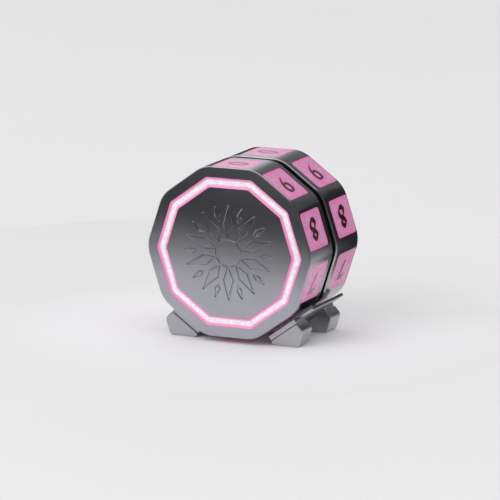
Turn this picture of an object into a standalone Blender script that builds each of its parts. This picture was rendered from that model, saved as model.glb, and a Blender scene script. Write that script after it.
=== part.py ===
"""A ten-sided life counter: two decagonal dials that turn on one axle, resting in a cradle stand.

Metres, +Z up. The origin is on the floor below the middle of the barrel. The barrel's axis runs
along Y: the units dial faces -Y, the tens dial +Y, and a reader on the -X side sees the digits upright.
"""

import math

import bmesh
import bpy
from mathutils import Matrix, Vector

MM = 0.001

# The dials
SIDES = 10
dial_apothem = 21.9 * MM
dial_depth = 13.9 * MM
corner_round = 8.0 * MM
edge_fillet = 0.4 * MM
side_wall = 2.0 * MM
face_wall = 2.4 * MM

# The enamel ring in each outer face
ring_outer = 19.1 * MM
ring_inner = 16.5 * MM
ring_round = 1.5 * MM
ring_groove = 0.9 * MM
ring_recess = 0.45 * MM

# The enamel windows on the facets
window_width = 9.9 * MM
window_length = 11.3 * MM
window_setback = 0.45 * MM
window_round = 0.9 * MM
window_pocket = 0.9 * MM
window_recess = 0.05 * MM
inlay_gap = 0.1 * MM

# The stiffening ribs in the corners of each dial
rib_thickness = 1.2 * MM
rib_reach = 6.0 * MM
rib_height = 3.0 * MM

# The inner covers
cover_thickness = 2.0 * MM
cover_ledge = 0.6 * MM
cover_gap = 0.15 * MM
neck_radius = 20.0 * MM
neck_height = 1.05 * MM
neck_gap = 0.3 * MM
neck_chamfer = 0.3 * MM
hub_radius = 7.0 * MM
hub_height = 2.2 * MM
hub_taper = 0.8 * MM

# The detent magnets
magnet_radius = 2.4 * MM
magnet_height = 2.0 * MM
magnet_pitch = 15.2 * MM
magnet_gap = 0.1 * MM

# The bushes
bush_radius = 3.9 * MM
bush_flange = 5.6 * MM
bush_flange_thickness = 0.7 * MM
bush_proud = 0.1 * MM
bush_tail = 0.2 * MM
bush_gap = 0.1 * MM

# The axle and its clips
axle_radius = 2.5 * MM
axle_clearance = 0.08 * MM
axle_groove = 0.5 * MM
axle_tail = 1.0 * MM
axle_chamfer = 0.4 * MM
clip_thickness = 0.8 * MM
clip_radius = 4.2 * MM
clip_gap = 0.1 * MM

# The stand
turn_clearance = 0.12 * MM
floor_clearance = 0.82 * MM
cradle_wall = 0.9 * MM
cradle_rise = 8.9 * MM
cradle_drop = 2.7 * MM
cradle_setback = 2.5 * MM
root_wall = 1.44 * MM
root_drop = 5.0 * MM
root_setback = 0.3 * MM
root_round = 0.35 * MM
foot_setback = 3.1 * MM
foot_depth = 6.0 * MM
foot_width = 9.3 * MM
foot_height = 4.24 * MM
foot_flare = 1.32 * MM
foot_rise = 4.0 * MM
foot_bite = 0.12 * MM
toe_round = 0.8 * MM
heel_round = 1.2 * MM
shoulder_round = 1.6 * MM
foot_top_round = 0.8 * MM
foot_fillet = 0.35 * MM
wall_fillet = 0.25 * MM
web_gap = 0.3 * MM
web_lift = 0.4 * MM
web_share = 0.5
seat_gap = 0.06 * MM

# How finely round shapes are divided
CORNER_STEPS = 5
ROUND_STEPS = 4
TURN_STEPS = 60
PIN_STEPS = 24
CLIP_STEPS = 24
SADDLE_STEPS = 16
FILLET_SEGMENTS = 2
overrun = 1.0 * MM
merge_limit = 0.001 * MM
flat_angle = math.radians(0.2)
fold_angle = math.radians(40)
crease_angle = math.radians(46)
saddle_angle = math.radians(54)
clip_mouth = math.radians(50)

# Worked out from the sizes above
half_turn = math.pi / SIDES
facet_step = 2 * half_turn
swept_radius = (dial_apothem - corner_round) / math.cos(half_turn) + corner_round
axis_height = swept_radius + floor_clearance
neck_face = neck_gap / 2
dial_back = neck_face + neck_height
dial_face = dial_back + dial_depth
cradle_angle = math.radians(90) - facet_step


def clear_scene():
    for obj in list(bpy.data.objects):
        bpy.data.objects.remove(obj, do_unlink=True)


def make_collection(name):
    group = bpy.data.collections.new(name)
    bpy.context.scene.collection.children.link(group)
    return group


def make_material(name, colour, roughness, metallic):
    material = bpy.data.materials.new(name)
    material.use_nodes = True
    shader = material.node_tree.nodes["Principled BSDF"]
    shader.inputs["Base Color"].default_value = (*colour, 1.0)
    shader.inputs["Roughness"].default_value = roughness
    shader.inputs["Metallic"].default_value = metallic
    return material


clear_scene()
parts = make_collection("life_counter")
cutters = make_collection("life_counter_cutters")

black_paint = make_material("black_paint", (0.020, 0.020, 0.023), 0.42, 0.3)
stand_paint = make_material("stand_paint", (0.024, 0.024, 0.027), 0.5, 0.3)
pink_enamel = make_material("pink_enamel", (0.80, 0.21, 0.50), 0.2, 0.0)
ring_enamel = make_material("ring_enamel", (0.92, 0.62, 0.80), 0.2, 0.0)
cover_plate = make_material("cover_plate", (0.05, 0.05, 0.055), 0.5, 0.6)
magnet_nickel = make_material("magnet_nickel", (0.72, 0.71, 0.68), 0.15, 1.0)
bush_brass = make_material("bush_brass", (0.78, 0.57, 0.23), 0.3, 1.0)
axle_steel = make_material("axle_steel", (0.56, 0.57, 0.58), 0.28, 1.0)
clip_steel = make_material("clip_steel", (0.20, 0.20, 0.21), 0.35, 1.0)


# Outlines, as lists of (x, z) points

def arc(centre, radius, start, end, steps):
    """Points on an arc, both ends included."""
    points = []
    for index in range(steps + 1):
        angle = start + (end - start) * index / steps
        points.append((centre[0] + radius * math.cos(angle), centre[1] + radius * math.sin(angle)))
    return points


def decagon(apothem, round_radius):
    """A ten-sided outline with rounded corners, anticlockwise, with flats at the top and bottom."""
    reach = (apothem - round_radius) / math.cos(half_turn)
    points = []
    for index in range(SIDES):
        corner = index * facet_step
        centre = (reach * math.cos(corner), reach * math.sin(corner))
        points += arc(centre, round_radius, corner - half_turn, corner + half_turn, CORNER_STEPS)
    return points


def rounded(corners, radii, steps=ROUND_STEPS):
    """The outline through these corners, anticlockwise, with each corner rounded to its radius."""
    points = []
    count = len(corners)
    for index in range(count):
        radius = radii[index]
        here = Vector(corners[index])
        back = (Vector(corners[index - 1]) - here).normalized()
        ahead = (Vector(corners[(index + 1) % count]) - here).normalized()
        half = back.angle(ahead) / 2
        middle = here + (back + ahead).normalized() * radius / math.sin(half)
        first = here + back * radius / math.tan(half) - middle
        start = math.atan2(first.y, first.x)
        turn = math.pi - 2 * half
        points += arc(middle, radius, start, start + turn, steps)
    return points


def rectangle(width, height):
    return [(-width / 2, -height / 2), (width / 2, -height / 2), (width / 2, height / 2), (-width / 2, height / 2)]


# Solids

def add(name, mesh, group, material=None):
    obj = bpy.data.objects.new(name, mesh)
    group.objects.link(obj)
    if material:
        mesh.materials.append(material)
    return obj


def mark_cutter(obj):
    obj.hide_render = True
    obj.display_type = "WIRE"
    return obj


def outline_mesh(name, outlines, thickness):
    """The solid between flat outlines, centred on its own XY plane; a second outline inside the first is a hole."""
    curve = bpy.data.curves.new(name, "CURVE")
    curve.dimensions = "2D"
    curve.fill_mode = "BOTH"
    curve.extrude = thickness / 2
    for outline in outlines:
        spline = curve.splines.new("POLY")
        spline.points.add(len(outline) - 1)
        for point, place in zip(spline.points, outline):
            point.co = (place[0], place[1], 0, 1)
        spline.use_cyclic_u = True
    drawn = bpy.data.objects.new(name, curve)
    bpy.context.scene.collection.objects.link(drawn)
    bpy.context.view_layer.update()
    evaluated = drawn.evaluated_get(bpy.context.evaluated_depsgraph_get())
    mesh = bpy.data.meshes.new_from_object(evaluated)
    bpy.data.objects.remove(drawn, do_unlink=True)
    work = bmesh.new()
    work.from_mesh(mesh)
    bmesh.ops.remove_doubles(work, verts=work.verts, dist=merge_limit)
    bmesh.ops.dissolve_limit(work, angle_limit=flat_angle, verts=work.verts, edges=work.edges)
    bmesh.ops.recalc_face_normals(work, faces=work.faces)
    work.to_mesh(mesh)
    work.free()
    mesh.name = name
    return mesh


def across(name, outlines, near, far, group, material=None):
    """A solid with these (x, z) outlines about the barrel's axis, from y = near to y = far."""
    low, high = min(near, far), max(near, far)
    obj = add(name, outline_mesh(name, outlines, high - low), group, material)
    obj.rotation_euler = (math.radians(90), 0, 0)
    obj.location = (0, (low + high) / 2, axis_height)
    return obj


def turned(name, profile, group, material=None, steps=TURN_STEPS):
    """A closed profile of (radius, y) points, turned about the barrel's axis."""
    area = sum(profile[index - 1][0] * profile[index][1] - profile[index][0] * profile[index - 1][1]
               for index in range(len(profile)))
    if area > 0:
        profile = profile[::-1]
    mesh = bpy.data.meshes.new(name)
    points = [(radius, 0, height) for radius, height in profile]
    edges = [(index, (index + 1) % len(points)) for index in range(len(points))]
    mesh.from_pydata(points, edges, [])
    obj = add(name, mesh, group, material)
    screw = obj.modifiers.new("turn", "SCREW")
    screw.axis = "Z"
    screw.angle = 2 * math.pi
    screw.steps = steps
    screw.render_steps = steps
    screw.use_merge_vertices = True
    screw.merge_threshold = merge_limit
    screw.use_normal_calculate = False
    obj.rotation_euler = (math.radians(-90), 0, 0)
    obj.location = (0, 0, axis_height)
    return obj


def pin_mesh(name, radius, height):
    work = bmesh.new()
    bmesh.ops.create_cone(
        work, cap_ends=True, segments=PIN_STEPS, radius1=radius, radius2=radius, depth=height
    )
    mesh = bpy.data.meshes.new(name)
    work.to_mesh(mesh)
    work.free()
    return mesh


def combine(obj, other, operation):
    boolean = obj.modifiers.new(other.name, "BOOLEAN")
    boolean.operation = operation
    boolean.solver = "EXACT"
    boolean.object = other
    mark_cutter(other)


def combine_all(obj, group, operation):
    boolean = obj.modifiers.new(group.name, "BOOLEAN")
    boolean.operation = operation
    boolean.solver = "EXACT"
    boolean.operand_type = "COLLECTION"
    boolean.collection = group
    for other in group.objects:
        mark_cutter(other)


def round_edges(obj, width):
    bevel = obj.modifiers.new("edges", "BEVEL")
    bevel.width = width
    bevel.segments = FILLET_SEGMENTS
    bevel.limit_method = "ANGLE"
    bevel.angle_limit = fold_angle


def cutter_group(name):
    group = bpy.data.collections.new(name)
    cutters.children.link(group)
    return group


def about_axis(angle, offset=(0, 0, 0)):
    """A place turned about the barrel's axis; the offset is (sideways, along, outwards) at the top."""
    to_axis = Matrix.Translation((0, 0, axis_height))
    return to_axis @ Matrix.Rotation(angle, 4, "Y") @ Matrix.Translation(offset)


def facet_turn(value):
    """The turn about Y from the top facet to the facet that carries this value."""
    return -value * facet_step


# One dial: side is -1 for the units dial and +1 for the tens dial

def window_mesh(name, gap, bottom, top):
    width = window_width - 2 * gap
    length = window_length - 2 * gap
    outline = rounded(rectangle(width, length), [window_round - gap] * 4)
    return outline_mesh(name, [outline], top - bottom)


def window_place(value, side, bottom, top):
    along = side * (dial_face - window_setback - window_length / 2)
    return about_axis(facet_turn(value), (0, along, (bottom + top) / 2))


def make_shell(dial, side):
    shell = across(f"{dial}_shell", [decagon(dial_apothem, corner_round)],
                   side * dial_back, side * dial_face, parts, black_paint)
    round_edges(shell, edge_fillet)

    inner = dial_apothem - side_wall
    hollow = across(f"{dial}_hollow", [decagon(inner, corner_round - side_wall)],
                    side * (dial_back - overrun), side * (dial_face - face_wall), cutters)
    seat = inner + cover_ledge
    rebate = across(f"{dial}_rebate", [decagon(seat, corner_round - dial_apothem + seat)],
                    side * (dial_back - overrun), side * (dial_back + cover_thickness), cutters)
    groove = across(f"{dial}_groove", [decagon(ring_outer, ring_round), decagon(ring_inner, ring_round)],
                    side * (dial_face - ring_groove), side * (dial_face + overrun), cutters)
    combine(shell, hollow, "DIFFERENCE")
    combine(shell, rebate, "DIFFERENCE")
    combine(shell, groove, "DIFFERENCE")

    pockets = cutter_group(f"{dial}_pockets")
    bottom = dial_apothem - window_pocket
    top = dial_apothem + overrun
    pocket_mesh = window_mesh(f"{dial}_pocket", 0, bottom, top)
    for value in range(SIDES):
        pocket = add(f"{dial}_pocket_{value}", pocket_mesh, pockets)
        pocket.matrix_world = window_place(value, side, bottom, top)
    combine_all(shell, pockets, "DIFFERENCE")

    ribs = cutter_group(f"{dial}_ribs")
    outer = swept_radius - side_wall / 2
    length = rib_height + face_wall / 2
    along = side * (dial_face - face_wall / 2 - length / 2)
    rib_mesh = outline_mesh(f"{dial}_rib", [rectangle(rib_thickness, length)], rib_reach)
    for index in range(SIDES):
        rib = add(f"{dial}_rib_{index}", rib_mesh, ribs)
        rib.matrix_world = about_axis(index * facet_step + half_turn, (0, along, outer - rib_reach / 2))
    combine_all(shell, ribs, "UNION")
    return shell


def make_ring(dial, side):
    return across(f"{dial}_ring_enamel",
                  [decagon(ring_outer - inlay_gap, ring_round - inlay_gap),
                   decagon(ring_inner + inlay_gap, ring_round + inlay_gap)],
                  side * (dial_face - ring_groove + inlay_gap), side * (dial_face - ring_recess),
                  parts, ring_enamel)


def make_windows(dial, side):
    bottom = dial_apothem - window_pocket + inlay_gap
    top = dial_apothem - window_recess
    mesh = window_mesh(f"{dial}_window", inlay_gap, bottom, top)
    windows = []
    for value in range(SIDES):
        window = add(f"{dial}_window_{value}", mesh, parts)
        window.matrix_world = window_place(value, side, bottom, top)
        windows.append(window)
    mesh.materials.append(pink_enamel)
    return windows


def make_cover(dial, side):
    apothem = dial_apothem - side_wall + cover_ledge - cover_gap
    back = dial_back + cover_thickness - cover_gap
    cover = across(f"{dial}_cover", [decagon(apothem, corner_round - dial_apothem + apothem)],
                   side * dial_back, side * back, parts, cover_plate)
    middle = (dial_back + back) / 2
    neck = turned(f"{dial}_neck", [
        (neck_radius, side * middle), (neck_radius, side * (neck_face + neck_chamfer)),
        (neck_radius - neck_chamfer, side * neck_face), (bush_radius / 2, side * neck_face),
        (bush_radius / 2, side * middle)], cutters)
    hub = turned(f"{dial}_hub", [
        (hub_radius, side * middle), (hub_radius - hub_taper, side * (back + hub_height)),
        (bush_radius / 2, side * (back + hub_height)), (bush_radius / 2, side * middle)], cutters)
    bore = turned(f"{dial}_bore", [
        (0, side * (neck_face - overrun)), (bush_flange + bush_gap, side * (neck_face - overrun)),
        (bush_flange + bush_gap, side * (neck_face - bush_proud + bush_flange_thickness + bush_gap)),
        (bush_radius + bush_gap, side * (neck_face - bush_proud + bush_flange_thickness + bush_gap)),
        (bush_radius + bush_gap, side * (back + hub_height + overrun)),
        (0, side * (back + hub_height + overrun))], cutters)
    combine(cover, neck, "UNION")
    combine(cover, hub, "UNION")
    combine(cover, bore, "DIFFERENCE")

    pockets = cutter_group(f"{dial}_magnet_pockets")
    depth = magnet_height + magnet_gap + overrun
    pocket_mesh = pin_mesh(f"{dial}_magnet_pocket", magnet_radius + magnet_gap, depth)
    for index in range(SIDES):
        pocket = add(f"{dial}_magnet_pocket_{index}", pocket_mesh, pockets)
        along = side * (neck_face + magnet_height + magnet_gap - depth / 2)
        pocket.matrix_world = about_axis(facet_turn(index), (0, along, magnet_pitch)) @ Matrix.Rotation(
            math.radians(90), 4, "X")
    combine_all(cover, pockets, "DIFFERENCE")
    return cover


def make_magnets(dial, side):
    mesh = pin_mesh(f"{dial}_magnet", magnet_radius, magnet_height)
    mesh.materials.append(magnet_nickel)
    magnets = []
    for index in range(SIDES):
        magnet = add(f"{dial}_magnet_{index}", mesh, parts)
        along = side * (neck_face + magnet_height / 2)
        magnet.matrix_world = about_axis(facet_turn(index), (0, along, magnet_pitch)) @ Matrix.Rotation(
            math.radians(90), 4, "X")
        magnets.append(magnet)
    return magnets


def bush_end():
    """How far from the middle the bush reaches."""
    return dial_back + cover_thickness - cover_gap + hub_height + bush_tail


def make_bush(dial, side):
    start = neck_face - bush_proud
    bore = axle_radius + axle_clearance
    return turned(f"{dial}_bush", [
        (bush_flange, side * start), (bush_flange, side * (start + bush_flange_thickness)),
        (bush_radius, side * (start + bush_flange_thickness)), (bush_radius, side * bush_end()),
        (bore, side * bush_end()), (bore, side * start)], parts, bush_brass, PIN_STEPS)


# The axle and the clips that keep both dials on it

def make_axle():
    groove_near = bush_end() + clip_gap
    groove_far = groove_near + clip_thickness + 2 * clip_gap
    end = groove_far + axle_tail
    waist = axle_radius - axle_groove
    half = [(axle_radius, groove_near), (waist, groove_near), (waist, groove_far), (axle_radius, groove_far),
            (axle_radius, end - axle_chamfer), (axle_radius - axle_chamfer, end), (0, end)]
    other = [(radius, -height) for radius, height in reversed(half)]
    return turned("axle", other + half, parts, axle_steel, PIN_STEPS)


def make_clip(dial, side):
    """A flat retaining clip: a C of spring steel, with its mouth downwards."""
    bore = axle_radius - axle_groove + clip_gap
    start = -math.radians(90) + clip_mouth
    end = math.radians(270) - clip_mouth
    ring = arc((0, 0), clip_radius, start, end, CLIP_STEPS)
    ring += arc((0, 0), bore, end, start, CLIP_STEPS)
    near = bush_end() + 2 * clip_gap
    clip = across(f"{dial}_clip", [ring], side * near, side * (near + clip_thickness), parts, clip_steel)
    return clip


# The stand: two cradle walls, four feet and a cross web with a saddle for the dials' necks

def beside(normal, along, hand):
    """A place by the lower side facet: along its outward normal, then up along the facet."""
    x = normal * math.cos(cradle_angle) + along * math.sin(cradle_angle)
    z = -normal * math.sin(cradle_angle) + along * math.cos(cradle_angle)
    return (hand * x, z)


def handed(points, hand):
    """Right-hand outlines stay anticlockwise when mirrored."""
    return points if hand > 0 else points[::-1]


def make_stand():
    near = swept_radius + turn_clearance
    far = near + cradle_wall
    foot_front = dial_face - foot_setback
    wall_end = foot_front - cradle_setback
    web_half = dial_back - web_gap
    saddle = neck_radius + seat_gap
    web_bottom = web_lift - axis_height

    middle = near + cradle_wall * web_share
    web_foot = (middle * math.sin(cradle_angle) + web_bottom) / math.cos(cradle_angle)
    left = arc((0, 0), saddle, -math.radians(90) - saddle_angle, -math.radians(90) + saddle_angle, SADDLE_STEPS)
    web_outline = [beside(middle, cradle_rise / 2, -1)] + left + [
        beside(middle, cradle_rise / 2, 1), beside(middle, web_foot, 1), beside(middle, web_foot, -1)]
    stand = across("stand", [web_outline[::-1]], -web_half, web_half, parts, stand_paint)

    walls = cutter_group("stand_walls")
    feet = cutter_group("stand_feet")
    for hand, hand_name in ((-1, "left"), (1, "right")):
        corners = [beside(far, -cradle_drop, hand), beside(far, cradle_rise, hand),
                   beside(near, cradle_rise, hand), beside(near, -cradle_drop, hand)]
        outline = rounded(handed(corners, hand), [cradle_wall / 3] * 4)
        wall = across(f"{hand_name}_wall", [outline], -wall_end, wall_end, walls)
        round_edges(wall, wall_fillet)

        root = near + root_wall
        corners = [beside(root, -root_drop, hand), beside(root, foot_rise, hand),
                   beside(near, foot_rise, hand), beside(near, -root_drop, hand)]
        root_outline = rounded(handed(corners, hand), [root_round] * 4)

        joint = root - foot_bite
        toe = (joint - axis_height * math.sin(cradle_angle)) / math.cos(cradle_angle)
        heel = toe + foot_width
        top = beside(joint, foot_rise, 1)
        corners = [(toe, -axis_height), (heel, -axis_height),
                   (heel + foot_flare, foot_height - axis_height), top]
        corners = [(hand * x, z) for x, z in corners]
        radii = [toe_round, heel_round, shoulder_round, foot_top_round]
        outline = rounded(handed(corners, hand), handed(radii, hand))
        for side, side_name in ((-1, "units"), (1, "tens")):
            behind = across(f"{side_name}_{hand_name}_root", [root_outline],
                            side * (foot_front - foot_depth + root_setback), side * (foot_front - root_setback), feet)
            round_edges(behind, wall_fillet)
            foot = across(f"{side_name}_{hand_name}_foot", [outline],
                          side * (foot_front - foot_depth), side * foot_front, feet)
            round_edges(foot, foot_fillet)
    combine_all(stand, walls, "UNION")
    combine_all(stand, feet, "UNION")
    return stand


def carry(parent, pieces):
    """Hang the pieces on an empty that stays on the joint's axis."""
    bpy.context.view_layer.update()
    for piece in pieces:
        place = piece.matrix_world.copy()
        piece.parent = parent
        piece.matrix_parent_inverse = parent.matrix_world.inverted()
        piece.matrix_world = place


def make_axis_empty(name):
    empty = bpy.data.objects.new(name, None)
    parts.objects.link(empty)
    empty.location = (0, 0, axis_height)
    return empty


def make_dial(dial, side):
    pieces = [make_shell(dial, side), make_ring(dial, side), make_cover(dial, side), make_bush(dial, side)]
    pieces += make_windows(dial, side)
    pieces += make_magnets(dial, side)
    carry(make_axis_empty(f"{dial}_axis"), pieces)


def shade_pieces():
    """Apply the modifiers, then shade the round faces smooth and keep the folds sharp."""
    bpy.context.view_layer.update()
    view = bpy.context.evaluated_depsgraph_get()
    finished = {piece: bpy.data.meshes.new_from_object(piece.evaluated_get(view))
                for piece in parts.objects if piece.modifiers}
    for piece, mesh in finished.items():
        piece.modifiers.clear()
        piece.data = mesh
    for piece in parts.objects:
        if piece.type == "MESH":
            piece.data.shade_smooth()
            piece.data.set_sharp_from_angle(angle=crease_angle)


def main():
    make_dial("units", -1)
    make_dial("tens", 1)
    spindle = [make_axle(), make_clip("units", -1), make_clip("tens", 1)]
    carry(make_axis_empty("spindle_axis"), spindle)
    make_stand()
    shade_pieces()


main()
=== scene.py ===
"""The looks of the ten-sided life counter: cast dials with glitter enamel, in a cradle stand.

Metres, +Z up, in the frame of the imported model. The flat drawings of the numerals, the windows and
the engraving are in millimetres.
"""

import math

import bmesh
import bpy
from mathutils import Matrix, Vector, geometry, kdtree


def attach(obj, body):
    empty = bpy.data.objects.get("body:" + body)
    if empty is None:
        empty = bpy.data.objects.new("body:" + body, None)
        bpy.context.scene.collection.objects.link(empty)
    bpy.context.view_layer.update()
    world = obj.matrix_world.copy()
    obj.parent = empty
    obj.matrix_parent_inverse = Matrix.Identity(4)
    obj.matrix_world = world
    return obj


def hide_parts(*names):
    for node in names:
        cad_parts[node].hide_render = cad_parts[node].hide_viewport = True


MM = 0.001

# The dials, as in the CAD source
SIDES = 10
dial_apothem = 21.9 * MM
dial_back = 1.2 * MM
dial_face = 15.1 * MM
corner_round = 8.0 * MM
side_wall = 2.0 * MM
face_wall = 2.4 * MM
cover_thickness = 2.0 * MM
cover_ledge = 0.6 * MM
edge_fillet = 0.4 * MM

# The ring of enamel in each outer face
ring_outer = 19.1 * MM
ring_inner = 16.5 * MM
ring_round = 1.5 * MM
ring_groove = 0.9 * MM
ring_slope = 0.65 * MM
ring_depth = 0.44 * MM
ring_lip = 0.03 * MM
inlay_play = 0.015 * MM

# The ring's section from either edge towards its middle: the share of the slope, the depth, and the
# share of the deeper rim colour in the colour
RING_SECTION = [(0.0, ring_lip, 1.0), (0.45, 0.72 * ring_depth, 1.0), (0.8, 0.93 * ring_depth, 0.8),
                (1.05, ring_depth, 0.35), (1.35, ring_depth, 0.0)]

# The enamel windows
window_width = 9.9 * MM
window_length = 11.3 * MM
window_setback = 0.45 * MM
window_round = 0.9 * MM
window_pocket = 0.9 * MM
window_recess = 0.06 * MM
window_lip = 0.045 * MM
numeral_root = 0.05 * MM

# The windows' lip and rim of deeper colour: their reach from an edge, in millimetres, and how they
# fade
lip_reach = 0.3
lip_fade = 2
rim_reach = 0.75
rim_fade = 1.5

# The points inside the windows that carry lip and rim: their spacing and least distance from an
# edge, in millimetres, and the shift of even and of odd rows, as a share of the spacing
enamel_spacing = 0.34
enamel_margin = 0.12
ROW_SHIFTS = (0.25, 0.5)

# The numerals, drawn in millimetres with a broad nib: its width, its edge and its angle
NIB = (1.32, 0.45, math.radians(40))
ROUND_NIB = (1.12, 0.42, math.radians(12))
HEAVY_NIB = (1.33, 0.5, math.radians(41))

# The engraving in the middle of each outer face, in millimetres: the width of a line, of the lip on
# each side of it and of its floor, and how far in a point counts as edge or as lip
line_width = 0.56
line_lip = 0.09
line_floor = 0.12
edge_zone = line_lip / 3
lip_zone = line_lip * 4 / 3

# How far the engraving's lip and floor lie below the face, and the edge of its cutter above it
lip_depth = 0.05 * MM
line_depth = 0.26 * MM
edge_height = lip_depth / 5

# The rosette that is engraved, petals and slim sparks: radii in millimetres, and half their angles
petal_root = 3.6
petal_belly = 7.0
petal_tip = 12.0
petal_spread = math.radians(11)
spark_root = 8.6
spark_belly = 9.9
spark_tip = 12.0
spark_spread = math.radians(3.6)

# The stand, as in the CAD source
axis_height = 23.4353 * MM
swept_radius = 22.6153 * MM
turn_clearance = 0.12 * MM
cradle_wall = 0.9 * MM
cradle_rise = 8.9 * MM
cradle_drop = 2.7 * MM
cradle_setback = 2.5 * MM
root_wall = 1.44 * MM
root_drop = 5.0 * MM
root_setback = 0.3 * MM
root_round = 0.35 * MM
foot_setback = 3.1 * MM
foot_depth = 6.0 * MM
foot_width = 9.3 * MM
foot_height = 4.24 * MM
foot_flare = 1.32 * MM
foot_rise = 4.0 * MM
foot_bite = 0.12 * MM
toe_round = 0.8 * MM
heel_round = 1.2 * MM
shoulder_round = 1.6 * MM
foot_top_round = 0.8 * MM
foot_fillet = 0.35 * MM
wall_fillet = 0.25 * MM
neck_radius = 20.0 * MM
web_gap = 0.3 * MM
web_lift = 0.4 * MM
web_share = 0.5
seat_gap = 0.06 * MM
saddle_angle = math.radians(54)

# How finely round shapes are divided
CORNER_STEPS = 20
ROUND_STEPS = 10
SADDLE_STEPS = 48
FILLET_STEPS = 5
ELLIPSE_STEPS = 16
STROKE_STEPS = 9
SCREEN_STEPS = 48

# Flat drawings, in millimetres: the closest points of an outline, how finely the distance to an
# outline is measured, and what counts as one point
closest_points = 0.035
edge_sample = 0.08
cdt_limit = 1e-5

# Solids: how far cutters reach past what they cut, what counts as one point, and from which angle
# on a fold looks sharp
overrun = 1.0 * MM
weld = 0.002 * MM
fold_angle = math.radians(32)

# Materials: the detail of broad and of fine noise, and the range that most noise values keep to
patch_detail = 4.0
fine_detail = 3.0
NOISE_RANGE = (0.3, 0.7)

# The enamel: its clear coat, its mottling, and the roughness of its flakes about the middle value
coat_weight = 0.35
coat_roughness = 0.12
mottle_reach = 0.35
FLAKE_ROUGHNESS = (-0.08, 0.1)

# The camera
azimuth = math.radians(24.6)
elevation = math.radians(11.85)
camera_distance = 1.0
lens = 286
sensor = 36
aim_right = 5.39 * MM
aim_up = 0.79 * MM

half_turn = math.pi / SIDES
facet_step = 2 * half_turn
window_middle = dial_face - window_setback - window_length / 2
cradle_angle = math.radians(90) - facet_step
cradle_reach = swept_radius + turn_clearance
cradle_round = cradle_wall / 3

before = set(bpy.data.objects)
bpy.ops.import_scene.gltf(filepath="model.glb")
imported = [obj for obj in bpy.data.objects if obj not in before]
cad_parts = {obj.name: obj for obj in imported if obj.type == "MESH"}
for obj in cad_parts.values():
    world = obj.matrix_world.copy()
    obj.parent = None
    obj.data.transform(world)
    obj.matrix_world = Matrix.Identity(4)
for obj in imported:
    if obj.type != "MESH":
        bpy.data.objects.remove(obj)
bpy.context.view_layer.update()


# Flat outlines

def arc(centre, radius, start, end, steps):
    """Points on an arc, both ends included."""
    points = []
    for index in range(steps + 1):
        angle = start + (end - start) * index / steps
        x = centre[0] + radius * math.cos(angle)
        y = centre[1] + radius * math.sin(angle)
        points.append(Vector((x, y)))
    return points


def decagon(apothem, round_radius):
    """A ten-sided outline with rounded corners, anticlockwise, with flats at the top and bottom."""
    reach = (apothem - round_radius) / math.cos(half_turn)
    points = []
    for index in range(SIDES):
        corner = index * facet_step
        centre = (reach * math.cos(corner), reach * math.sin(corner))
        points += arc(centre, round_radius, corner - half_turn, corner + half_turn, CORNER_STEPS)
    return points


def rounded(corners, radii):
    """The outline through these corners, anticlockwise, with each corner rounded to its radius."""
    points = []
    count = len(corners)
    for index in range(count):
        here = Vector(corners[index])
        back = (Vector(corners[index - 1]) - here).normalized()
        ahead = (Vector(corners[(index + 1) % count]) - here).normalized()
        half = back.angle(ahead) / 2
        middle = here + (back + ahead).normalized() * radii[index] / math.sin(half)
        first = here + back * radii[index] / math.tan(half) - middle
        start = math.atan2(first.y, first.x)
        points += arc(middle, radii[index], start, start + math.pi - 2 * half, ROUND_STEPS)
    return points


def rectangle(width, height):
    x, y = width / 2, height / 2
    return [(-x, -y), (x, -y), (x, y), (-x, y)]


def anticlockwise(loop):
    """The loop, reversed where it runs clockwise."""
    pairs = zip(loop[-1:] + loop[:-1], loop)
    doubled_area = sum(back.x * here.y - here.x * back.y for back, here in pairs)
    return loop if doubled_area > 0 else loop[::-1]


def gathered(loops):
    """The points of all these loops in one list, and each loop as its places in that list."""
    points, faces = [], []
    for loop in loops:
        faces.append(list(range(len(points), len(points) + len(loop))))
        points += loop
    return points, faces


def outline_edges(triangles):
    """The directed edges that only one triangle has."""
    edges = {(triangle[index - 1], triangle[index]) for triangle in triangles for index in range(3)}
    return [edge for edge in edges if (edge[1], edge[0]) not in edges]


def triangulate(loops, inner_points=(), inner_loops=()):
    """Triangles over the even-odd inside of the loops, using the inner points and edges too."""
    points, faces = gathered([anticlockwise(loop) for loop in loops])
    edges = []
    for loop in inner_loops:
        first = len(points)
        edges += [(first + index, first + (index + 1) % len(loop)) for index in range(len(loop))]
        points += loop
    points += list(inner_points)
    result = geometry.delaunay_2d_cdt(points, edges, faces, 0, cdt_limit)
    triangles = [triangle for triangle, sources in zip(result[2], result[5]) if len(sources) % 2]
    return result[0], triangles


def union(shapes):
    """The outlines round all of these overlapping shapes."""
    points, faces = gathered(shapes)
    result = geometry.delaunay_2d_cdt(points, [], faces, 0, cdt_limit)
    covered = [triangle for triangle, sources in zip(result[2], result[5]) if sources]
    following = {}
    for start, end in sorted(outline_edges(covered)):
        following.setdefault(start, []).append(end)
    loops = []
    while following:
        here = min(following)
        loop = []
        while here in following:
            loop.append(result[0][here])
            ahead = following[here].pop()
            if not following[here]:
                del following[here]
            here = ahead
        loops.append(thinned(loop))
    return [loop for loop in loops if len(loop) > 2]


def thinned(loop):
    """The loop without points that crowd the one before."""
    kept = []
    for point in loop:
        if not kept or (point - kept[-1]).length > closest_points:
            kept.append(point)
    return kept


def distance_to(loops):
    """A function that gives the distance from a point to the nearest of these loops."""
    samples = []
    for loop in loops:
        for back, here in zip(loop[-1:] + loop[:-1], loop):
            count = max(1, math.ceil((here - back).length / edge_sample))
            samples += [back.lerp(here, share / count) for share in range(count)]
    tree = kdtree.KDTree(len(samples))
    for index, sample in enumerate(samples):
        tree.insert((sample.x, sample.y, 0), index)
    tree.balance()
    return lambda point: tree.find((point.x, point.y, 0))[2]


# Solids

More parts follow.
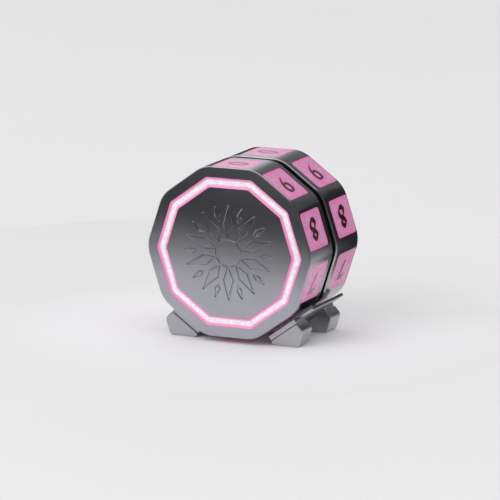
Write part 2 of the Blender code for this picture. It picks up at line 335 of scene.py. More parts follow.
def add(name, data, *materials):
    """Puts an object with this mesh, lamp or camera into the scene."""
    obj = bpy.data.objects.new(name, data)
    bpy.context.scene.collection.objects.link(obj)
    for material in materials:
        data.materials.append(material)
    return obj


def finished(work, name):
    """The mesh of a bmesh, which is used up."""
    mesh = bpy.data.meshes.new(name)
    work.to_mesh(mesh)
    work.free()
    return mesh


def closed_mesh(name, vertices, faces):
    work = bmesh.new()
    spots = [work.verts.new(vertex) for vertex in vertices]
    for face in faces:
        work.faces.new([spots[index] for index in face])
    bmesh.ops.recalc_face_normals(work, faces=work.faces)
    return finished(work, name)


def relief(name, points, triangles, place, top, bottom):
    """A closed solid over flat triangles, between two heights that are functions of the point."""
    used = sorted({index for triangle in triangles for index in triangle})
    order = {index: number for number, index in enumerate(used)}
    count = len(used)
    vertices = [place(points[index], top(points[index])) for index in used]
    vertices += [place(points[index], bottom(points[index])) for index in used]
    faces = [[order[index] for index in triangle] for triangle in triangles]
    faces += [[order[index] + count for index in reversed(triangle)] for triangle in triangles]
    for start, end in outline_edges(triangles):
        faces.append([order[end], order[start], order[start] + count, order[end] + count])
    return closed_mesh(name, vertices, faces)


def extruded(low, high):
    """A bmesh of the closed solid between two outlines with as many points, and its two ends."""
    work = bmesh.new()
    lower = [work.verts.new(point) for point in low]
    upper = [work.verts.new(point) for point in high]
    ends = [work.faces.new(lower), work.faces.new(upper[::-1])]
    for index in range(len(lower)):
        work.faces.new((lower[index], lower[index - 1], upper[index - 1], upper[index]))
    bmesh.ops.recalc_face_normals(work, faces=work.faces)
    return work, ends


def prism(name, outline, near, far, fillet=0.0):
    """A closed solid with this (x, z) outline about the barrel's axis, from y = near to y = far."""
    work, ends = extruded([(x, near, axis_height + z) for x, z in outline],
                          [(x, far, axis_height + z) for x, z in outline])
    if fillet:
        rims = list({edge for face in ends for edge in face.edges})
        bmesh.ops.bevel(work, geom=rims, offset=fillet, segments=FILLET_STEPS, profile=0.5,
                        affect="EDGES")
    return finished(work, name)


def band(name, profile, side):
    """A closed profile of (apothem, height from the face) points, carried round the decagon."""
    loops = []
    for apothem, height in profile:
        y = side * (dial_face + height)
        loops.append([(point.x, y, axis_height + point.y)
                      for point in decagon(apothem, ring_round)])
    count = len(loops[0])
    vertices = [vertex for loop in loops for vertex in loop]
    faces = []
    for row in range(len(loops)):
        ahead = (row + 1) % len(loops)
        for index in range(count):
            beside_it = (index + 1) % count
            faces.append((row * count + index, row * count + beside_it,
                          ahead * count + beside_it, ahead * count + index))
    return closed_mesh(name, vertices, faces)


def joined(name, meshes):
    """One mesh of several that stay apart."""
    work = bmesh.new()
    for mesh in meshes:
        work.from_mesh(mesh)
    return finished(work, name)


def carved(block, cutters, operation):
    """The block's mesh after a boolean with each of the cutters; block and cutters are used up."""
    tools = []
    for cutter in cutters:
        tool = add(cutter.name, cutter)
        tools.append(tool)
        boolean = block.modifiers.new(tool.name, "BOOLEAN")
        boolean.operation = operation
        boolean.solver = "EXACT"
        boolean.object = tool
    bpy.context.view_layer.update()
    evaluated = block.evaluated_get(bpy.context.evaluated_depsgraph_get())
    mesh = bpy.data.meshes.new_from_object(evaluated)
    name = block.name
    for used in tools + [block]:
        bpy.data.objects.remove(used, do_unlink=True)
    work = bmesh.new()
    work.from_mesh(mesh)
    bmesh.ops.remove_doubles(work, verts=work.verts, dist=weld)
    bmesh.ops.dissolve_degenerate(work, edges=work.edges, dist=weld)
    work.to_mesh(mesh)
    work.free()
    mesh.name = name
    return mesh


def finish_shading(obj):
    """Smooth shading up to the folds, with flat faces kept flat."""
    obj.data.shade_smooth()
    obj.data.set_sharp_from_angle(angle=fold_angle)
    weighted = obj.modifiers.new("weighted", "WEIGHTED_NORMAL")
    weighted.keep_sharp = True
    return obj


def set_rim(mesh, values):
    """Stores the share of the deeper rim colour at each vertex, from 0 to 1."""
    attribute = mesh.attributes.new("rim", "FLOAT", "POINT")
    attribute.data.foreach_set("value", values)


# Materials

def linear(red, green, blue):
    """A colour from its sRGB values, 0 to 255."""
    shares = [value / 255 for value in (red, green, blue)]
    return tuple(share / 12.92 if share <= 0.04045 else ((share + 0.055) / 1.055) ** 2.4
                 for share in shares)


def new_material(name, **settings):
    material = bpy.data.materials.new(name)
    material.use_nodes = True
    shader = material.node_tree.nodes["Principled BSDF"]
    for socket, value in settings.items():
        shader.inputs[socket.replace("_", " ")].default_value = value
    return material


def put(material, kind, inputs=None, **settings):
    """Adds a node. An input is a value, or the socket that it is linked from."""
    node = material.node_tree.nodes.new(kind)
    for name, value in settings.items():
        setattr(node, name, value)
    for name, value in (inputs or {}).items():
        if isinstance(value, bpy.types.NodeSocket):
            material.node_tree.links.new(value, node.inputs[name])
        else:
            node.inputs[name].default_value = value
    return node


def feed(material, socket, output):
    shader = material.node_tree.nodes["Principled BSDF"]
    material.node_tree.links.new(output, shader.inputs[socket])


def place_of(material):
    return put(material, "ShaderNodeTexCoord").outputs["Object"]


def noise_at(material, place, size, detail=fine_detail):
    """Noise from 0 to 1 whose features are about this size."""
    node = put(material, "ShaderNodeTexNoise",
               {"Vector": place, "Scale": 1 / size, "Detail": detail})
    return node.outputs["Fac"]


def spread(material, value, low, high, start=NOISE_RANGE[0], end=NOISE_RANGE[1]):
    """Maps a value, such as noise, to the range from low to high."""
    node = put(material, "ShaderNodeMapRange", {
        "Value": value, "From Min": start, "From Max": end, "To Min": low, "To Max": high})
    return node.outputs["Result"]


def mixed(material, factor, first, second):
    node = put(material, "ShaderNodeMix", data_type="RGBA")
    for name, value in (("Factor_Float", factor), ("A_Color", first), ("B_Color", second)):
        socket = next(entry for entry in node.inputs if entry.identifier == name)
        if isinstance(value, bpy.types.NodeSocket):
            material.node_tree.links.new(value, socket)
        else:
            socket.default_value = (*value, 1.0) if name != "Factor_Float" else value
    return next(entry for entry in node.outputs if entry.identifier == "Result_Color")


def metal(name, dark, light, roughness, roughness_spread, grain_size, grain_depth, patch_size,
          metallic=1.0):
    """A metal surface with soft patches of tone and a fine cast or ground grain."""
    material = new_material(name, Metallic=metallic)
    place = place_of(material)
    patches = noise_at(material, place, patch_size, patch_detail)
    grain = noise_at(material, place, grain_size)
    feed(material, "Base Color", mixed(material, spread(material, patches, 0, 1), dark, light))
    rough = spread(material, grain, roughness - roughness_spread, roughness + roughness_spread)
    feed(material, "Roughness", rough)
    bump = put(material, "ShaderNodeBump", {"Height": grain, "Distance": grain_depth,
                                            "Strength": 1.0})
    feed(material, "Normal", bump.outputs["Normal"])
    return material


def glitter(name, deep, low, high, flake_size, flake_tilt, mottle_size, roughness):
    """Enamel with glitter in it: pale flakes in the middle, a deeper colour along its rims."""
    material = new_material(name, Coat_Weight=coat_weight, Coat_Roughness=coat_roughness)
    place = place_of(material)
    flakes = put(material, "ShaderNodeTexVoronoi", {"Vector": place, "Scale": 1 / flake_size})
    parts = put(material, "ShaderNodeSeparateColor", {"Color": flakes.outputs["Color"]}).outputs
    clouds = noise_at(material, place, mottle_size)
    mottle = spread(material, clouds, -mottle_reach, mottle_reach)
    tone = put(material, "ShaderNodeMath", {0: parts["Red"], 1: mottle},
               operation="ADD", use_clamp=True)
    body = mixed(material, tone.outputs["Value"], low, high)
    rim = put(material, "ShaderNodeAttribute", attribute_name="rim").outputs["Fac"]
    feed(material, "Base Color", mixed(material, rim, body, deep))
    smoothest, roughest = [roughness + change for change in FLAKE_ROUGHNESS]
    feed(material, "Roughness", spread(material, parts["Green"], smoothest, roughest, 0, 1))

    lean = put(material, "ShaderNodeVectorMath", {0: flakes.outputs["Color"], 1: (0.5, 0.5, 0.5)},
               operation="SUBTRACT")
    tilted = put(material, "ShaderNodeVectorMath",
                 {0: lean.outputs["Vector"], "Scale": flake_tilt}, operation="SCALE")
    normal = put(material, "ShaderNodeNewGeometry").outputs["Normal"]
    summed = put(material, "ShaderNodeVectorMath", {0: normal, 1: tilted.outputs["Vector"]},
                 operation="ADD")
    unit = put(material, "ShaderNodeVectorMath", {0: summed.outputs["Vector"]},
               operation="NORMALIZE")
    feed(material, "Normal", unit.outputs["Vector"])
    return material


dial_black = metal("dial_black", dark=(0.422, 0.426, 0.456), light=(0.452, 0.457, 0.490),
                   roughness=0.165, roughness_spread=0.02,
                   grain_size=0.16 * MM, grain_depth=0.0006 * MM, patch_size=9 * MM)
stand_black = metal("stand_black", dark=(0.460, 0.468, 0.490), light=(0.500, 0.508, 0.530),
                    roughness=0.30, roughness_spread=0.035,
                    grain_size=0.2 * MM, grain_depth=0.0012 * MM, patch_size=6 * MM)
# The numerals are the casting's own black metal: the pink tint in their colour is a painted
# reflection.
numeral_black = metal("numeral_black", dark=(0.31, 0.25, 0.29), light=(0.35, 0.285, 0.33),
                      roughness=0.24, roughness_spread=0.03,
                      grain_size=0.12 * MM, grain_depth=0.0006 * MM, patch_size=3 * MM)
plate_black = metal("plate_black", dark=(0.045, 0.045, 0.050), light=(0.065, 0.065, 0.070),
                    roughness=0.45, roughness_spread=0.08,
                    grain_size=0.3 * MM, grain_depth=0.004 * MM, patch_size=5 * MM, metallic=0.7)
nickel = metal("nickel", dark=(0.62, 0.61, 0.58), light=(0.72, 0.71, 0.68),
               roughness=0.2, roughness_spread=0.06,
               grain_size=0.1 * MM, grain_depth=0.001 * MM, patch_size=1.2 * MM)
brass = metal("brass", dark=(0.66, 0.46, 0.17), light=(0.78, 0.57, 0.23),
              roughness=0.3, roughness_spread=0.08,
              grain_size=0.15 * MM, grain_depth=0.002 * MM, patch_size=2 * MM)
steel = metal("steel", dark=(0.48, 0.49, 0.50), light=(0.58, 0.59, 0.60),
              roughness=0.3, roughness_spread=0.08,
              grain_size=0.12 * MM, grain_depth=0.002 * MM, patch_size=2 * MM)
spring_steel = metal("spring_steel", dark=(0.16, 0.16, 0.17), light=(0.22, 0.22, 0.23),
                     roughness=0.36, roughness_spread=0.08,
                     grain_size=0.12 * MM, grain_depth=0.002 * MM, patch_size=1.5 * MM)
window_enamel = glitter("window_enamel", deep=linear(238, 112, 178),
                        low=linear(200, 132, 182), high=linear(226, 164, 200),
                        flake_size=0.24 * MM, flake_tilt=0.35, mottle_size=1.6 * MM,
                        roughness=0.32)
ring_enamel = glitter("ring_enamel", deep=linear(242, 142, 196),
                      low=linear(232, 217, 229), high=linear(255, 253, 255),
                      flake_size=0.22 * MM, flake_tilt=0.45, mottle_size=1.2 * MM,
                      roughness=0.3)


# The dials

def facet_place(value):
    """Brings a place over the axis, its height counted from there, to the facet of this numeral."""
    to_axis = Matrix.Translation((0, 0, axis_height))
    return to_axis @ Matrix.Rotation(-value * facet_step, 4, "Y")


def make_window_cutter(value):
    """What is cut out of the units dial's casting for the window of this numeral."""
    outline = rounded(rectangle(window_width, window_length), [window_round] * 4)
    work = extruded([(x, y, dial_apothem - window_pocket) for x, y in outline],
                    [(x, y, dial_apothem + overrun) for x, y in outline])[0]
    work.transform(facet_place(value) @ Matrix.Translation((0, -window_middle, 0)))
    return finished(work, f"pocket_{value}")


def line_shape(start, end, width):
    """A straight line of this width, a little longer than its ends."""
    ahead = (end - start).normalized() * width / 2
    beside_it = Vector((-ahead.y, ahead.x))
    back, front = start - ahead, end + ahead
    return [back - beside_it, front - beside_it, front + beside_it, back + beside_it]


def polar(radius, angle):
    return Vector((radius * math.cos(angle), radius * math.sin(angle)))


def kite(angle, root, belly, tip, half_angle):
    """The four sides of a kite that points outwards."""
    corners = [polar(root, angle), polar(belly, angle - half_angle),
               polar(tip, angle), polar(belly, angle + half_angle)]
    return [(corners[index - 1], corners[index]) for index in range(4)]


def ornament_lines():
    """A ten-petalled rosette: kite-shaped petals to the flats, slim sparks to the corners."""
    lines = []
    for index in range(SIDES):
        flat = index * facet_step + half_turn
        lines += kite(flat, petal_root, petal_belly, petal_tip, petal_spread)
        lines.append((polar(petal_root, flat), polar(petal_root, flat + facet_step)))
        lines += kite(flat + half_turn, spark_root, spark_belly, spark_tip, spark_spread)
    return lines


def make_engraving_cutter():
    """What is cut out of the units dial's face: each line slopes down over its lip to its floor."""
    lines = ornament_lines()
    edges, lips, floors = [union([line_shape(start, end, width) for start, end in lines])
                           for width in (line_width, line_width - 2 * line_lip, line_floor)]
    points, triangles = triangulate(edges, inner_loops=lips + floors)
    from_edge = distance_to(edges)

    def place(point, height):
        return (point.x * MM, -dial_face - height, axis_height + point.y * MM)

    def bottom(point):
        if from_edge(point) < edge_zone:
            return edge_height
        return -lip_depth if from_edge(point) < lip_zone else -line_depth

    return relief("engraving", points, triangles, place, lambda point: overrun, bottom)


def make_shell_mesh():
    """The units dial's casting: a cup with a ring groove, ten pockets and the engraving."""
    block = add("units_shell_block", prism("block", decagon(dial_apothem, corner_round),
                                           -dial_face, -dial_back, edge_fillet))
    inner = dial_apothem - side_wall
    seat = inner + cover_ledge
    hollow = prism("hollow", decagon(inner, corner_round - side_wall),
                   -(dial_face - face_wall), -(dial_back - overrun))
    rebate = prism("rebate", decagon(seat, corner_round - dial_apothem + seat),
                   -(dial_back + cover_thickness), -(dial_back - overrun))
    groove = band("groove", [(ring_outer, overrun), (ring_inner, overrun),
                             (ring_inner, -ring_groove), (ring_outer, -ring_groove)], -1)
    pockets = joined("pockets", [make_window_cutter(value) for value in range(SIDES)])
    return carved(block, [hollow, rebate, groove, pockets, make_engraving_cutter()], "DIFFERENCE")


def mirrored(mesh, name):
    """The same mesh on the other side of the barrel's middle."""
    work = bmesh.new()
    work.from_mesh(mesh)
    bmesh.ops.scale(work, vec=(1, -1, 1), verts=work.verts)
    bmesh.ops.reverse_faces(work, faces=work.faces)
    return finished(work, name)


def make_ring(dial, side):
    """The enamel in the ring groove: a level glittering middle between two slopes of deeper colour.
    """
    outer, inner = ring_outer - inlay_play, ring_inner + inlay_play
    floor = -ring_groove + inlay_play
    profile = [(outer - share * ring_slope, -depth) for share, depth, rim in RING_SECTION]
    profile += [(inner + share * ring_slope, -depth) for share, depth, rim in RING_SECTION[::-1]]
    profile += [(inner, floor), (outer, floor)]
    rims = [rim for share, depth, rim in RING_SECTION + RING_SECTION[::-1]] + [1.0, 1.0]
    mesh = band(f"{dial}_ring", profile, side)
    count = len(mesh.vertices) // len(profile)
    set_rim(mesh, [rim for rim in rims for index in range(count)])
    return finish_shading(add(f"{dial}_ring", mesh, ring_enamel))


# Numerals: the middle line of each stroke, in millimetres about the numeral's centre

def open_stroke(*points, end=1.0):
    """A stroke with two ends; end is the share of the nib that is left at its last point."""
    return points, False, end


def round_stroke(*points):
    """A stroke that closes on itself."""
    return points, True, 1.0


def ellipse(centre, width, height):
    """Points round an ellipse."""
    points = []
    for index in range(ELLIPSE_STEPS):
        angle = 2 * math.pi * index / ELLIPSE_STEPS
        points.append((centre[0] + width / 2 * math.cos(angle),
                       centre[1] + height / 2 * math.sin(angle)))
    return points


def half_turned(strokes):
    """The strokes upside down."""
    return [([(-x, -y) for x, y in points], closed, end) for points, closed, end in strokes]


NINE = [round_stroke(*ellipse((0.04, 1.2), 2.84, 2.9)),
        open_stroke((1.44, 1.25), (1.3, 0.3), (0.85, -0.7), (0.1, -1.65), (-1.0, -2.4), end=0.2)]

NUMERALS = [
    [round_stroke(*ellipse((0, 0), 2.9, 4.75))],
    [open_stroke((-1.1, 1.6), (-0.4, 1.85), (0.1, 2.45)),
     open_stroke((0.1, 2.45), (0.08, 1.0), (0.08, -1.0), (0.1, -2.35)),
     open_stroke((-1.1, -2.3), (-0.4, -2.4), (0.5, -2.35), (1.2, -2.25))],
    [open_stroke((-1.25, 1.35), (-0.95, 2.1), (-0.05, 2.42), (0.95, 2.05), (1.2, 1.15),
                 (0.75, 0.1), (-0.2, -1.0), (-1.3, -2.15)),
     open_stroke((-1.3, -2.15), (-0.7, -2.05), (0.1, -2.3), (0.8, -2.35), (1.5, -1.95))],
    [open_stroke((-1.2, 1.7), (-0.6, 2.3), (0.3, 2.42), (1.0, 2.0), (1.05, 1.25), (0.4, 0.6),
                 (-0.35, 0.3)),
     open_stroke((-0.35, 0.3), (0.6, 0.25), (1.35, -0.35), (1.35, -1.3), (0.75, -2.1),
                 (-0.3, -2.4), (-1.35, -1.95))],
    [open_stroke((0.65, 2.42), (-0.35, 1.0), (-1.45, -0.8)),
     open_stroke((-1.45, -0.85), (-0.5, -0.77), (0.6, -0.85), (1.5, -0.75)),
     open_stroke((0.6, 2.35), (0.55, 0.5), (0.55, -1.2), (0.6, -2.4))],
    [open_stroke((-0.8, 2.2), (-0.1, 2.15), (0.6, 2.2), (1.4, 2.42)),
     open_stroke((-0.8, 2.25), (-0.95, 1.35), (-1.05, 0.5)),
     open_stroke((-1.05, 0.5), (-0.2, 0.8), (0.8, 0.6), (1.35, -0.2), (1.3, -1.3), (0.65, -2.15),
                 (-0.4, -2.4), (-1.35, -1.9))],
    half_turned(NINE),
    [open_stroke((-1.45, 2.15), (-1.05, 2.55), (-0.2, 2.5), (0.6, 2.45), (1.45, 2.7)),
     open_stroke((1.35, 2.65), (0.85, 1.5), (0.4, 0.2), (0.1, -0.9), (-0.05, -1.9))],
    [round_stroke((1.12, 1.75), (0.5, 2.27), (-0.4, 2.27), (-1.1, 1.65), (-0.85, 0.85),
                  (0.1, 0.3), (1.15, -0.25), (1.46, -1.0), (1.12, -1.8), (0.3, -2.38),
                  (-0.75, -2.38), (-1.38, -1.75), (-1.15, -0.95), (-0.4, -0.15), (0.5, 0.4),
                  (1.08, 1.05))],
    NINE,
]
NIBS = {6: ROUND_NIB, 8: HEAVY_NIB, 9: ROUND_NIB}


def smooth_path(points, closed):
    """A Catmull-Rom curve through the points."""
    spots = [Vector(point) for point in points]
    count = len(spots)
    path = []
    for index in range(count if closed else count - 1):
        around = [index + shift for shift in (-1, 0, 1, 2)]
        if closed:
            before, start, end, after = [spots[place % count] for place in around]
        else:
            before, start, end, after = [spots[min(max(place, 0), count - 1)] for place in around]
        for step in range(STROKE_STEPS):
            t = step / STROKE_STEPS
            path.append(0.5 * (2 * start + (end - before) * t
                               + (2 * before - 5 * start + 4 * end - after) * t * t
                               + (3 * start - before - 3 * end + after) * t * t * t))
    path.append(spots[0] if closed else spots[-1])
    return path


def nib_mark(nib, spots, shares):
    """The mark that the nib leaves between two spots, at two shares of its size."""
    width, edge, angle = nib
    wide = Vector((math.cos(angle), math.sin(angle))) * width / 2
    thin = Vector((-math.sin(angle), math.cos(angle))) * edge / 2
    corners = []
    for spot, share in zip(spots, shares):
        corners += [spot + share * (a * wide + b * thin) for a in (-1, 1) for b in (-1, 1)]
    return anticlockwise([corners[index] for index in geometry.convex_hull_2d(corners)])


def numeral_loops(value):
    """The outlines of a numeral."""
    nib = NIBS.get(value, NIB)
    marks = []
    for points, closed, end in NUMERALS[value]:
        path = smooth_path(points, closed)
        steps = len(path) - 1
        shares = [1 - (1 - end) * (index / steps) ** 2 for index in range(steps + 1)]
        marks += [nib_mark(nib, path[index:index + 2], shares[index:index + 2])
                  for index in range(steps)]
    return union(marks)


def window_place(value, side):
    """Puts a window's flat point, in millimetres, on its facet, at a distance from the axis."""
    to_facet = facet_place(value)
    along = side * window_middle
    return lambda point, height: to_facet @ Vector((point.y * MM, along - point.x * MM, height))


def make_window(dial, side, value, outlines):
    """One enamel window: level glitter that climbs a little to its edges, round a numeral."""
    half_length, half_width = window_length / MM / 2, window_width / MM / 2
    grid = []
    for row in range(int(2 * half_width / enamel_spacing)):
        for column in range(int(2 * half_length / enamel_spacing)):
            shift = enamel_spacing * ROW_SHIFTS[row % 2]
            grid.append(Vector((column * enamel_spacing - half_length + shift,
                                (row + 0.5) * enamel_spacing - half_width)))
    from_edge = distance_to(outlines)
    grid = [point for point in grid if from_edge(point) > enamel_margin]
    points, triangles = triangulate(outlines, grid)

    def top(point):
        lip = math.exp(-(from_edge(point) / lip_reach) ** lip_fade)
        return dial_apothem - window_recess + window_lip * lip

    def bottom(point):
        return dial_apothem - window_pocket + inlay_play

    mesh = relief(f"{dial}_enamel_{value}", points, triangles, window_place(value, side),
                  top, bottom)
    from_facet = facet_place(value).inverted()
    rims = []
    for vertex in mesh.vertices:
        flat = from_facet @ vertex.co
        point = Vector(((side * window_middle - flat.y) / MM, flat.x / MM))
        rims.append(math.exp(-(from_edge(point) / rim_reach) ** rim_fade))
    set_rim(mesh, rims)
    return finish_shading(add(f"{dial}_enamel_{value}", mesh, window_enamel))


def make_numeral(dial, side, value, loops):
    """The numeral stands up from below the pocket's floor to the casting's surface."""
    points, triangles = triangulate(loops)
    mesh = relief(f"{dial}_numeral_{value}", points, triangles, window_place(value, side),
                  lambda point: dial_apothem,
                  lambda point: dial_apothem - window_pocket - numeral_root)
    return finish_shading(add(f"{dial}_numeral_{value}", mesh, numeral_black))


def make_dials():
    shell = make_shell_mesh()
    window_frame = rounded(rectangle((window_length - 2 * inlay_play) / MM,
                                     (window_width - 2 * inlay_play) / MM),
                           [(window_round - inlay_play) / MM] * 4)
    numerals = [numeral_loops(value) for value in range(SIDES)]
    for dial, side in (("units", -1), ("tens", 1)):
        body = f"{dial}_dial"
        mesh = mirrored(shell, f"{dial}_casting") if side > 0 else shell
        casting = finish_shading(add(f"{dial}_casting", mesh, dial_black))
        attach(casting, body)
        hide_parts(f"{dial}_shell")
        ring = make_ring(dial, side)
        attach(ring, body)
        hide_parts(f"{dial}_ring_enamel")
        for value in range(SIDES):
            window = make_window(dial, side, value, [window_frame] + numerals[value])
            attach(window, body)
            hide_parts(f"{dial}_window_{value}")
            numeral = make_numeral(dial, side, value, numerals[value])
            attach(numeral, body)


# The stand

def beside(normal, along, hand):
    """A place by the lower side facet: along its outward normal, then up along the facet."""
    x = normal * math.cos(cradle_angle) + along * math.sin(cradle_angle)
    z = -normal * math.sin(cradle_angle) + along * math.cos(cradle_angle)
    return (hand * x, z)


def handed(points, hand):
    """Keeps the outline of a mirrored right-hand shape anticlockwise."""
    return points if hand > 0 else points[::-1]


def cradle_strip(thickness, low, high, round_radius, hand):
    """The outline of a strip that lies along the lower side facet, from low to high."""
    outside = cradle_reach + thickness
    corners = [beside(outside, low, hand), beside(outside, high, hand),
               beside(cradle_reach, high, hand), beside(cradle_reach, low, hand)]
    return rounded(handed(corners, hand), [round_radius] * 4)


def foot_outline(hand):
    """A foot that leans on its root: from the toe over the heel and the shoulder to the top."""
    joint = cradle_reach + root_wall - foot_bite
    toe = (joint - axis_height * math.sin(cradle_angle)) / math.cos(cradle_angle)
    heel = toe + foot_width
    corners = [(toe, -axis_height), (heel, -axis_height),
               (heel + foot_flare, foot_height - axis_height), beside(joint, foot_rise, 1)]
    corners = [(hand * x, z) for x, z in corners]
    radii = [toe_round, heel_round, shoulder_round, foot_top_round]
    return rounded(handed(corners, hand), handed(radii, hand))


def web_outline():
    """The cross web: it ends inside the cradle walls, with the saddle for the necks on top."""
    middle = cradle_reach + cradle_wall * web_share
    low = (middle * math.sin(cradle_angle) + web_lift - axis_height) / math.cos(cradle_angle)
    down = -math.radians(90)
    saddle = arc((0, 0), neck_radius + seat_gap, down - saddle_angle, down + saddle_angle,
                 SADDLE_STEPS)
    outline = [beside(middle, cradle_rise / 2, -1)] + saddle + [
        beside(middle, cradle_rise / 2, 1), beside(middle, low, 1), beside(middle, low, -1)]
    return outline[::-1]


def make_stand():
    web_half = dial_back - web_gap
    foot_front = dial_face - foot_setback
    foot_back = foot_front - foot_depth
    wall_end = foot_front - cradle_setback
    web = add("stand_block", prism("web", web_outline(), -web_half, web_half))
    pieces = []
    for hand, hand_name in ((-1, "left"), (1, "right")):
        wall = cradle_strip(cradle_wall, -cradle_drop, cradle_rise, cradle_round, hand)
        pieces.append(prism(f"{hand_name}_wall", wall, -wall_end, wall_end, wall_fillet))
        root = cradle_strip(root_wall, -root_drop, foot_rise, root_round, hand)
        foot = foot_outline(hand)
        for side, side_name in ((-1, "units"), (1, "tens")):
            ends = sorted((side * (foot_back + root_setback), side * (foot_front - root_setback)))
            pieces.append(prism(f"{side_name}_{hand_name}_root", root, *ends, wall_fillet))
            ends = sorted((side * foot_back, side * foot_front))
            pieces.append(prism(f"{side_name}_{hand_name}_foot", foot, *ends, foot_fillet))
    mesh = carved(web, pieces, "UNION")
    stand = finish_shading(add("cradle_stand", mesh, stand_black))
    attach(stand, "stand")
    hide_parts("stand")


def dress_nodes():
    """The CAD nodes that stay get their finishes."""
    finishes = {"cover": plate_black, "magnet": nickel, "bush": brass, "axle": steel,
                "clip": spring_steel}
    for name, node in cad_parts.items():
        for word, material in finishes.items():
            if word in name:
                node.data.materials.clear()
                node.data.materials.append(material)


# The studio

floor_size = 3.0
# The floor's colour is painted lighter near the object and darker further out: a painted falloff of
# light, which the dials reflect. Its cloud is random tone.
painted_light_near = (0.90, 0.90, 0.91)
painted_shade_far = (0.75, 0.75, 0.76)
painted_falloff = (15 * MM, 70 * MM)
floor_cloud = 120 * MM
cloud_reach = 0.06

sky_colour = (1.0, 1.0, 1.0, 1.0)
sky_level = 0.92
backdrop_colour = (0.97, 0.97, 0.98, 1.0)
backdrop_level = 1.0

key_place = (-0.35, -0.85, 0.85)
key_target = (0, 0, 0.02)
key_size = 0.7
key_watts = 4.5

# The screens and the card are seen only in reflections: their dark tones paint the dark reflections
# on the dials.
# The dark screens round the object, in millimetres and degrees: a screen's centre, its radius, its
# heights at its first and last angle, and its tones by height and, added to them, by angle
SCREENS = {
    "front_screen": (
        (-98, 147), 250, (170, 170),
        [(0, 0.52), (3.5, 0.47), (8, 0.38), (9.5, 0.12), (12, 0.05), (18.6, 0.07), (24.6, 0.14),
         (80, 0.14)],
        [(-115, 0.0), (-79, 0.0), (-70, 0.04), (-55, 0.05)]),
    "side_screen": (
        (0, 0), 70, (120, 120),
        [(0, 0.82), (10, 0.62), (18, 0.38), (26, 0.26), (36, 0.18), (46, 0.11), (90, 0.10)],
        [(-60, 0.0), (54, 0.0), (64, 0.06), (85, 0.08), (95, 0.10), (100, 0.16), (106, 0.40),
         (112, 0.7)]),
    "low_screen": (
        (0, 0), 150, (68, 85),
        [(0, 0.022), (64, 0.022)],
        [(113, 0.0), (160, 0.0)]),
}

# The dark card, a painted shade in the reflections on the dials' right side, in millimetres: its
# points on the floor and above them, its height, and its tones
CARD_FEET = [(26, 36), (43.7, 53.3), (44.7, 52.5)]
CARD_TOPS = [(26, 36), (43.7, 53.3), (53.2, 43.9)]
CARD_HEIGHT = 50
CARD_TONES = [(0, 0.03), (50, 0.035)]


def make_floor():
    material = new_material("floor", Roughness=0.7, Specular_IOR_Level=0.2)
    # Painted falloff of light: lighter near the object, darker further out, with random cloud on
    # top.
    place = place_of(material)
    reach = put(material, "ShaderNodeVectorMath", {0: place}, operation="LENGTH").outputs["Value"]
    cloud = spread(material, noise_at(material, place, floor_cloud), -cloud_reach, cloud_reach)
    fade = put(material, "ShaderNodeMath",
               {0: spread(material, reach, 0, 1, *painted_falloff), 1: cloud},
               operation="ADD", use_clamp=True)
    feed(material, "Base Color", mixed(material, fade.outputs["Value"], painted_light_near, painted_shade_far))
    mesh = bpy.data.meshes.new("floor")
    corners = rectangle(floor_size, floor_size)
    mesh.from_pydata([(x, y, 0) for x, y in corners], [], [(0, 1, 2, 3)])
    floor = add("floor", mesh, material)


def toned(material, value, stops):
    """A grey that follows these stops of a value and its tone."""
    first, last = stops[0][0], stops[-1][0]
    share = spread(material, value, 0, 1, first, last)
    ramp = put(material, "ShaderNodeValToRGB", {"Fac": share})
    elements = ramp.color_ramp.elements
    for place, tone in stops[1:-1]:
        elements.new((place - first) / (last - first)).color = (tone, tone, tone, 1)
    for element, (place, tone) in ((elements[0], stops[0]), (elements[-1], stops[-1])):
        element.color = (tone, tone, tone, 1)
    return ramp.outputs["Color"]


def matt_material(name):
    """A material without gloss, and the coordinates that its tone can follow."""
    material = new_material(name, Roughness=1.0, Specular_IOR_Level=0.0)
    return material, put(material, "ShaderNodeSeparateXYZ", {"Vector": place_of(material)}).outputs


def reflected_strip(name, feet, tops, material):
    """An upright strip, between two rows of points, that only reflections see."""
    count = len(feet)
    mesh = bpy.data.meshes.new(name)
    mesh.from_pydata(feet + tops, [], [(index, index + 1, index + 1 + count, index + count)
                                       for index in range(count - 1)])
    screen = add(name, mesh, material)
    screen.visible_camera = False
    screen.visible_diffuse = False
    screen.visible_shadow = False
    screen.visible_transmission = False
    return screen


def make_card():
    material, axes = matt_material("dark_card")
    tones = [(height * MM, tone) for height, tone in CARD_TONES]
    feed(material, "Base Color", toned(material, axes["Z"], tones))
    reflected_strip("dark_card", [(x * MM, y * MM, 0) for x, y in CARD_FEET],
                    [(x * MM, y * MM, CARD_HEIGHT * MM) for x, y in CARD_TOPS], material)


def make_screen(name, centre, radius, heights, by_height, by_angle):
    """A curved screen over its angles about the centre, anticlockwise from +X."""
    by_height = [(height * MM, tone) for height, tone in by_height]
    by_angle = [(math.radians(angle), tone) for angle, tone in by_angle]
    material, axes = matt_material(name)
    turn = put(material, "ShaderNodeMath", {0: axes["Y"], 1: axes["X"]}, operation="ARCTAN2")
    tones = put(material, "ShaderNodeVectorMath", {
        0: toned(material, axes["Z"], by_height),
        1: toned(material, turn.outputs["Value"], by_angle)}, operation="ADD")
    feed(material, "Base Color", tones.outputs["Vector"])

    rim = arc((0, 0), radius * MM, by_angle[0][0], by_angle[-1][0], SCREEN_STEPS)
    low, high = [height * MM for height in heights]
    tops = [(point.x, point.y, low + (high - low) * index / SCREEN_STEPS)
            for index, point in enumerate(rim)]
    screen = reflected_strip(name, [(point.x, point.y, 0) for point in rim], tops, material)
    screen.location = (centre[0] * MM, centre[1] * MM, 0)


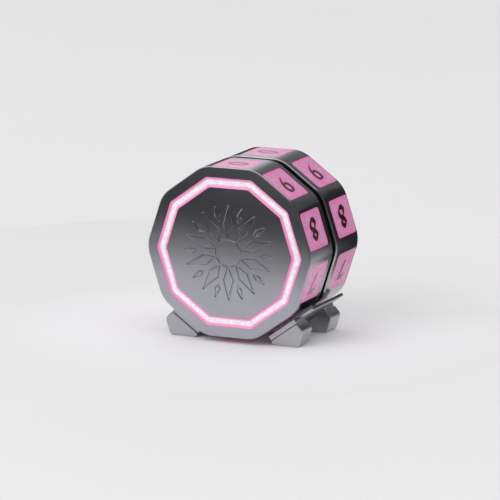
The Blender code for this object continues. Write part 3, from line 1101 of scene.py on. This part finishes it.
def make_world():
    """Plain soft light from all round; camera, glossy and transmission rays see a pale backdrop."""
    world = bpy.data.worlds.new("studio")
    world.use_nodes = True
    bpy.context.scene.world = world
    nodes, links = world.node_tree.nodes, world.node_tree.links
    sky, backdrop = nodes["Background"], nodes.new("ShaderNodeBackground")
    for background, colour, level in ((sky, sky_colour, sky_level),
                                      (backdrop, backdrop_colour, backdrop_level)):
        background.inputs["Color"].default_value = colour
        background.inputs["Strength"].default_value = level
    paths = nodes.new("ShaderNodeLightPath").outputs
    seen = paths["Is Camera Ray"]
    for ray in ("Is Glossy Ray", "Is Transmission Ray"):
        either = nodes.new("ShaderNodeMath")
        either.operation = "MAXIMUM"
        links.new(seen, either.inputs[0])
        links.new(paths[ray], either.inputs[1])
        seen = either.outputs[0]
    blend = nodes.new("ShaderNodeMixShader")
    for place, output in enumerate((seen, sky.outputs[0], backdrop.outputs[0])):
        links.new(output, blend.inputs[place])
    links.new(blend.outputs[0], nodes["World Output"].inputs["Surface"])


def make_key_lamp():
    light = bpy.data.lights.new("key", "AREA")
    light.size = key_size
    light.energy = key_watts
    lamp = add("key", light)
    lamp.location = key_place
    aim = Vector(key_target) - Vector(key_place)
    lamp.rotation_euler = aim.to_track_quat("-Z", "Y").to_euler()


def make_camera():
    right = Vector((math.cos(azimuth), math.sin(azimuth), 0))
    back = Vector((math.sin(azimuth) * math.cos(elevation),
                   -math.cos(azimuth) * math.cos(elevation), math.sin(elevation)))
    up = back.cross(right)
    target = Vector((0, -dial_face, axis_height)) + right * aim_right + up * aim_up
    data = bpy.data.cameras.new("camera")
    data.lens = lens
    data.sensor_width = sensor
    camera = add("camera", data)
    turned = Matrix((right, up, back)).transposed().to_4x4()
    camera.matrix_world = Matrix.Translation(target + back * camera_distance) @ turned
    bpy.context.scene.camera = camera


def make_studio():
    bpy.context.scene.view_settings.view_transform = "Standard"
    make_floor()
    make_world()
    make_key_lamp()
    for name, screen in SCREENS.items():
        make_screen(name, *screen)
    make_card()
    make_camera()


make_dials()
make_stand()
dress_nodes()
make_studio()
